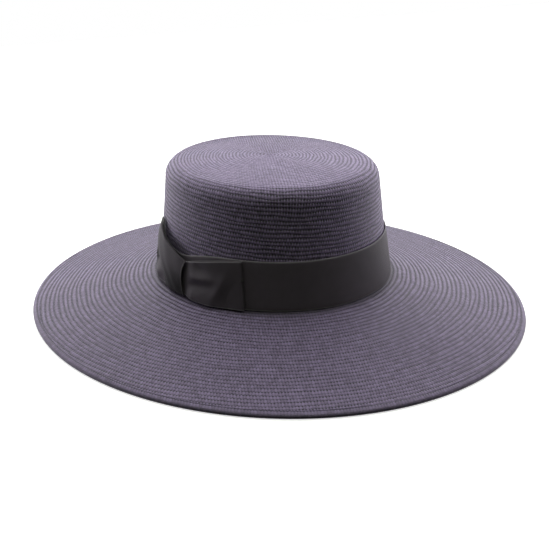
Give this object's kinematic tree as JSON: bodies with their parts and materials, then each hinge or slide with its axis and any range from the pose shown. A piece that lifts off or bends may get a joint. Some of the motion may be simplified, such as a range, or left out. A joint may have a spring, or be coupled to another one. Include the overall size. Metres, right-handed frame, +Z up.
{
  "type": "boater hat",
  "caption": "Wide-brimmed straw boater with an oval flat-topped crown, a sloping brim with a rolled edge, and a ribbon band with a flat side bow.",
  "frame": {"origin": "on the surface that the brim's edge lies on, under the middle of the crown", "axes": "+Z up through the crown; +Y from the wearer's face towards the back of the head, along the oval's long axis; the bow is on the -X side, the wearer's right"},
  "size_m": [0.3746, 0.423, 0.1146],
  "materials": {
    "straw": "satin woven straw in fine rows, dyed dark mauve grey",
    "ribbon": "matt ribbed ribbon, near black"
  },
  "bodies": {
    "root": {"crown": "straw", "brim": "straw", "hat_band": "ribbon", "bow_loop_front": "ribbon", "bow_loop_rear": "ribbon", "bow_knot": "ribbon"}
  },
  "joints": []
}
